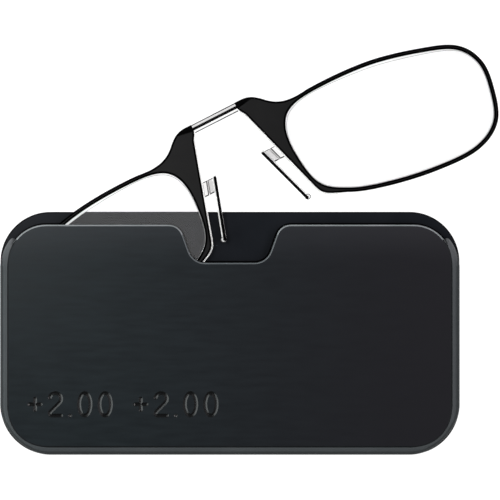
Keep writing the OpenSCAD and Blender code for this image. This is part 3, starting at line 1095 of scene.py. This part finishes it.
def tab_part(centre, normal):
    """1 for the rounded upper and lower edges of the tab, tinted dark as painted shade, and 0 for the
    rest.
    """
    turned = normal.y < TAB_LOWER_TILT or normal.y > TAB_UPPER_TILT
    return 1 if turned and abs(normal.z) < FLAT else 0


def make_carrier(side):
    """Clear trim along the rim's nose side, and the fixed half of the pad's tab."""
    name = side_name(side)
    edge = trim_edge()
    outline = (edge + inset_open(edge, TRIM_W)[::-1])[::-1]
    trim = slab(f"{name}_nose_trim", outline, -0.5, 0.5, 0.12, 0.12, (TRIM_CLEAR,),
                on_glasses(side), steps=4)
    own(trim, f"{name}_half", "tab_clear", f"{name}_pad_carrier")
    offset = CREASE + 0.1
    corners = [(beside_spine(offset, TAB_TOP), TAB_TOP), (beside_spine(offset, TAB_LOW), TAB_LOW),
               (rim_edge_x(TAB_LOW) - TRIM_W, TAB_LOW), (rim_edge_x(TAB_TOP) - TRIM_W, TAB_TOP)]
    tab = slab(f"{name}_tab_root", corners, -TAB_T / 2, TAB_T / 2, 0.28, 0.28,
               (TAB_CLEAR, TAB_EDGE_PAINTED_SHADE), on_glasses(side), steps=4, part=tab_part)
    own(tab, f"{name}_half", "tab_clear", f"{name}_pad_carrier")


def make_leaf(side):
    """The thin web of the tab's moving half, tinted grey as painted shade, and the crease bar that it
    turns on, tinted darker as painted shade.
    """
    name = side_name(side)
    inner = SPINE_W / 2
    outer = CREASE - KNUCKLE_R + 0.1
    corners = [(beside_spine(inner, TAB_TOP), TAB_TOP), (beside_spine(inner, TAB_LOW), TAB_LOW),
               (beside_spine(outer, TAB_LOW), TAB_LOW), (beside_spine(outer, TAB_TOP), TAB_TOP)]
    web = slab(f"{name}_tab_web", corners, -LEAF_T / 2, LEAF_T / 2, 0.28, 0.28,
               (LEAF_PAINTED_SHADE, TAB_EDGE_PAINTED_SHADE), on_glasses(side), steps=4, part=tab_part)
    own(web, f"{name}_pad", "tab_clear", f"{name}_pad_leaf")
    steps = 8
    ring = arc((CREASE, 0), KNUCKLE_R, 0, 345, 23)
    sections = []
    for i in range(steps + 1):
        y = TAB_TOP + (TAB_LOW - TAB_TOP) * i / steps
        sections.append([(beside_spine(o, y), y, z) for o, z in ring])
    bm = bmesh.new()
    sweep(bm, sections)
    bar = make_object(f"{name}_crease_bar", bm, (CREASE_PAINTED_SHADE,), on_glasses(side))
    own(bar, f"{name}_pad", "tab_clear", f"{name}_pad_leaf")


def make_spine(side):
    """Black bar, thickened at its lower end."""
    name = side_name(side)
    half = SPINE_W / 2
    end_r = 0.44
    end_angle = math.degrees(math.asin(half / end_r))
    foot = arc((0, -SPINE_LEN), end_r, 90 + end_angle, 450 - end_angle, 14)
    outline = on_pad(foot + arc((0, 0), half, 0, 180, 8))
    spine = slab(f"{name}_spine_bar", outline, -SPINE_T / 2, SPINE_T / 2, 0.1, 0.1,
                 (SPINE_BLACK,), on_glasses(side), steps=4)
    own(spine, f"{name}_pad", "spine_black", f"{name}_pad_spine")


def make_nose_pad(side):
    """Soft skin round the spine, wider on the rim's side, with a round bead at its foot whose rounded
    edges are tinted dark as painted shade.
    """
    name = side_name(side)
    nose_x, rim_x = -SPINE_W / 2 - 0.05, SPINE_W / 2 + SKIN_W
    low = -SPINE_LEN + 0.3
    shoulder = 0.3
    outline = ([(nose_x, low), (rim_x, low), (rim_x, SPINE_W - shoulder)]
               + arc((rim_x - shoulder, SPINE_W - shoulder), shoulder, 10, 90, 6)
               + arc((nose_x + shoulder, SPINE_W - shoulder), shoulder, 90, 170, 6))
    skin = slab(f"{name}_pad_skin", on_pad(outline), -0.74, 0.74, 0.18, 0.18, (PAD_SILICONE,),
                on_glasses(side), steps=4)
    own(skin, f"{name}_pad", "pad_silicone", f"{name}_nose_pad")
    bead = slab(f"{name}_pad_bead", on_pad(arc((0.3, -SPINE_LEN - 0.05), 0.72, 0, 350, 35)), -0.78,
                0.78, 0.2, 0.2, (PAD_SILICONE, BEAD_EDGE_PAINTED_SHADE), on_glasses(side), steps=5)
    own(bead, f"{name}_pad", "pad_silicone", f"{name}_nose_pad")


# ---------------------------------------------------------------- studio

def make_floor():
    size = 4.0
    bm = bmesh.new()
    bmesh.ops.create_grid(bm, x_segments=1, y_segments=1, size=size)
    mesh = bpy.data.meshes.new("floor")
    bm.to_mesh(mesh)
    bm.free()
    material, nodes, links, shader = new_material("floor_white")
    speckle = noise(nodes, links, 60)
    links.new(spread_colours(nodes, links, speckle, (0.19, 0.19, 0.19), (0.21, 0.21, 0.21)),
              shader.inputs["Base Color"])
    shader.inputs["Roughness"].default_value = 0.9
    shader.inputs["Emission Color"].default_value = (1, 1, 1, 1)
    shader.inputs["Emission Strength"].default_value = 0.95
    mesh.materials.append(material)
    floor = bpy.data.objects.new("floor", mesh)
    floor.location.z = CAD_BOX[0][2] - 0.00005
    bpy.context.scene.collection.objects.link(floor)


def make_world():
    """Bright overhead and at the horizon, darker between, like a softbox over a light table."""
    world = bpy.data.worlds.new("studio")
    bpy.context.scene.world = world
    world.use_nodes = True
    nodes, links = world.node_tree.nodes, world.node_tree.links
    place = nodes.new("ShaderNodeTexCoord")
    split = nodes.new("ShaderNodeSeparateXYZ")
    links.new(place.outputs["Generated"], split.inputs["Vector"])
    ramp = nodes.new("ShaderNodeValToRGB")
    stops = [(0.0, 0.8), (0.1, 0.8), (0.2, 0.08), (0.6, 0.1), (0.85, 0.6), (1.0, 0.68)]
    while len(ramp.color_ramp.elements) < len(stops):
        ramp.color_ramp.elements.new(0.5)
    for element, (position, value) in zip(ramp.color_ramp.elements, stops):
        element.position = position
        element.color = (value, value, value * 1.02, 1)
    links.new(split.outputs["Z"], ramp.inputs["Fac"])
    links.new(ramp.outputs["Color"], nodes["Background"].inputs["Color"])
    nodes["Background"].inputs["Strength"].default_value = 1.3


def area_light(name, location, target, size, power, colour=(1, 1, 1)):
    light = bpy.data.lights.new(name, "AREA")
    light.shape = "RECTANGLE"
    light.size, light.size_y = size
    light.energy = power
    light.color = colour
    obj = bpy.data.objects.new(name, light)
    obj.location = location
    aim = Vector(target) - Vector(location)
    obj.rotation_euler = aim.to_track_quat("-Z", "Y").to_euler()
    bpy.context.scene.collection.objects.link(obj)


def make_lights():
    area_light("upper_left", (-0.083, 0.05, 0.15), (-0.05, 0.03, 0), (0.05, 0.05), 0.13)
    area_light("left_low", (-0.46, 0.03, 0.19), (0, 0, 0), (0.8, 0.16), 1.8,
               (0.93, 1, 1))
    area_light("right", (0.2, 0.03, 0.26), (0, 0, 0), (0.3, 0.06), 0.55, (1, 0.96, 1))


def make_camera():
    """Looks straight down on the pod from far enough that the view is almost flat."""
    view_centre = Vector((4.9, 20.3, 3.0)) * MM
    view_width = 121.74 * MM
    camera = bpy.data.cameras.new("camera")
    camera.lens = 250
    distance = camera.lens / camera.sensor_width * view_width
    obj = bpy.data.objects.new("camera", camera)
    obj.location = view_centre + Vector((0, 0, distance))
    camera.clip_start = 0.05
    camera.clip_end = 10
    bpy.context.scene.collection.objects.link(obj)
    bpy.context.scene.camera = obj
    bpy.context.scene.view_settings.view_transform = "Standard"


make_camera()
make_world()
make_lights()
make_floor()

make_back_plate()
make_adhesive()
make_rail()
make_front_panel()
finish_grips()
for half in (LEFT, RIGHT):
    make_rim(half)
    make_lens(half)
    make_ferrule(half)
    make_wire(half)
    make_sleeve(half)
    make_carrier(half)
    make_leaf(half)
    make_spine(half)
    make_nose_pad(half)

bpy.context.view_layer.update()
